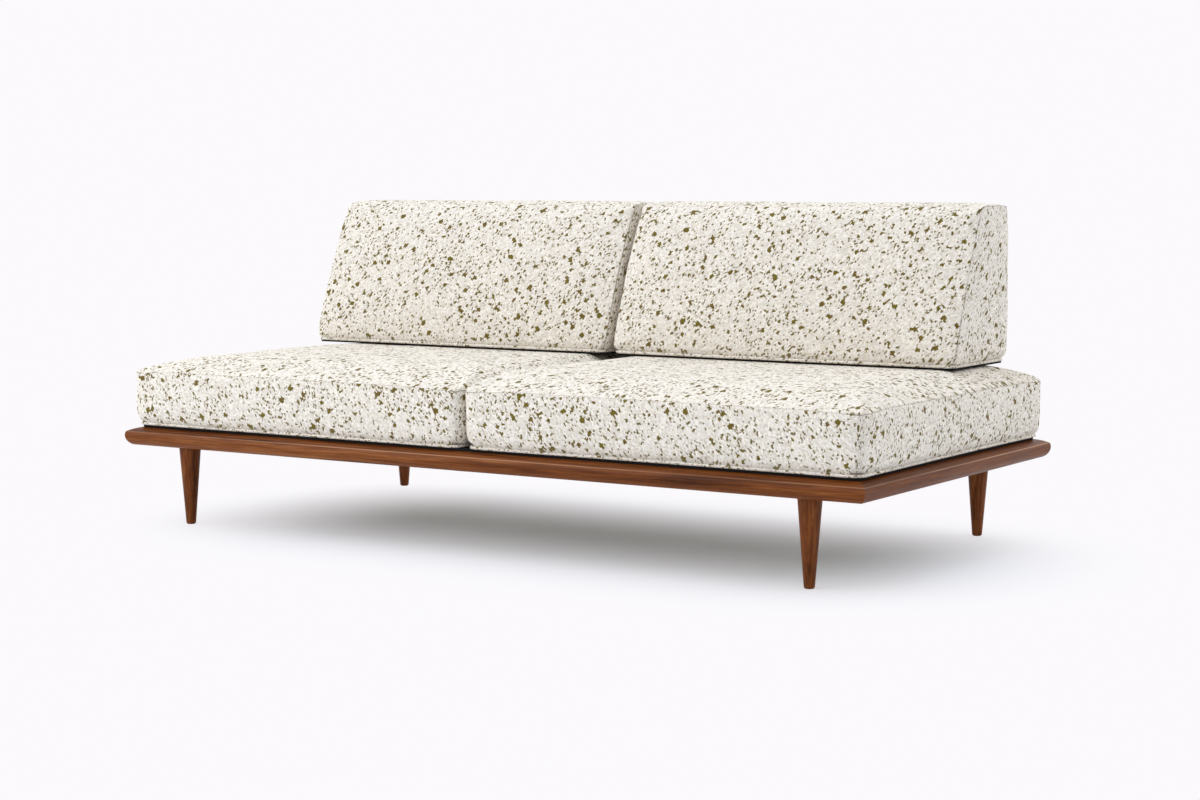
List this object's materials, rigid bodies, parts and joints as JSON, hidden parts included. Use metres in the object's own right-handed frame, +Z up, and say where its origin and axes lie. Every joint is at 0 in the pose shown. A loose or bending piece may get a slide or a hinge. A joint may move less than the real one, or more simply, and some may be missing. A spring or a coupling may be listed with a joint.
{
  "type": "sofa",
  "caption": "Armless platform sofa: bullnose walnut frame on tapered legs, boxed seat cushions and loose wedge bolsters in a flecked cream weave.",
  "frame": {"origin": "on the floor, under the middle of the frame", "axes": "+X to the right-hand end seen from the front, -Y to the front, +Z up"},
  "size_m": [1.9, 0.93, 0.7406],
  "materials": {
    "walnut_rail": "satin oiled walnut, grain along the rail",
    "walnut_leg": "satin oiled walnut, grain along the leg",
    "softwood": "planed pine",
    "plywood": "birch plywood",
    "black_felt": "matt felt",
    "zinc_steel": "zinc plated",
    "speckled_weave": "cream weave with irregular olive brown flecks",
    "foam": "open cell foam",
    "zip_tape": "woven tape, nylon coil",
    "zip_metal": "dull nickel"
  },
  "bodies": {
    "frame": {"cross_bearer_left": "softwood", "cross_bearer_middle": "softwood", "cross_bearer_right": "softwood", "deck_felt": "black_felt", "deck_panel_left": "plywood", "deck_panel_right": "plywood", "deck_screws": "zinc_steel", "front_rail": "walnut_rail", "hanger_bolts": "zinc_steel", "left_rail": "walnut_rail", "leg_front_left": "walnut_leg", "leg_front_right": "walnut_leg", "leg_rear_left": "walnut_leg", "leg_rear_right": "walnut_leg", "mitre_splines": "plywood", "rear_rail": "walnut_rail", "right_rail": "walnut_rail", "threaded_inserts": "zinc_steel"},
    "seat_left_cushion": {"seat_left_core": "foam", "seat_left_cover": "speckled_weave", "seat_left_welt": "speckled_weave", "seat_left_zip": "zip_tape"},
    "seat_left_zip_slider": {"seat_left_zip_slider": "zip_metal"},
    "seat_right_cushion": {"seat_right_core": "foam", "seat_right_cover": "speckled_weave", "seat_right_welt": "speckled_weave", "seat_right_zip": "zip_tape"},
    "seat_right_zip_slider": {"seat_right_zip_slider": "zip_metal"},
    "bolster_left_cushion": {"bolster_left_core": "foam", "bolster_left_cover": "speckled_weave", "bolster_left_grip": "black_felt", "bolster_left_welt": "speckled_weave", "bolster_left_zip": "zip_tape"},
    "bolster_left_zip_slider": {"bolster_left_zip_slider": "zip_metal"},
    "bolster_right_cushion": {"bolster_right_core": "foam", "bolster_right_cover": "speckled_weave", "bolster_right_grip": "black_felt", "bolster_right_welt": "speckled_weave", "bolster_right_zip": "zip_tape"},
    "bolster_right_zip_slider": {"bolster_right_zip_slider": "zip_metal"}
  },
  "joints": [
    {"name": "seat_left_lift", "type": "slide", "parent": "frame", "child": "seat_left_cushion", "axis": [0, 0, 1], "range_m": [0, 0.3]},
    {"name": "seat_right_lift", "type": "slide", "parent": "frame", "child": "seat_right_cushion", "axis": [0, 0, 1], "range_m": [0, 0.3]},
    {"name": "bolster_left_lift", "type": "slide", "parent": "seat_left_cushion", "child": "bolster_left_cushion", "axis": [0, 0, 1], "range_m": [0, 0.25]},
    {"name": "bolster_right_lift", "type": "slide", "parent": "seat_right_cushion", "child": "bolster_right_cushion", "axis": [0, 0, 1], "range_m": [0, 0.25]},
    {"name": "seat_left_zip_run", "type": "slide", "parent": "seat_left_cushion", "child": "seat_left_zip_slider", "axis": [1, 0, 0], "range_m": [0, 0.5834]},
    {"name": "seat_right_zip_run", "type": "slide", "parent": "seat_right_cushion", "child": "seat_right_zip_slider", "axis": [1, 0, 0], "range_m": [0, 0.5834]},
    {"name": "bolster_left_zip_run", "type": "slide", "parent": "bolster_left_cushion", "child": "bolster_left_zip_slider", "axis": [1, 0, 0], "range_m": [0, 0.5234]},
    {"name": "bolster_right_zip_run", "type": "slide", "parent": "bolster_right_cushion", "child": "bolster_right_zip_slider", "axis": [1, 0, 0], "range_m": [0, 0.5234]}
  ]
}
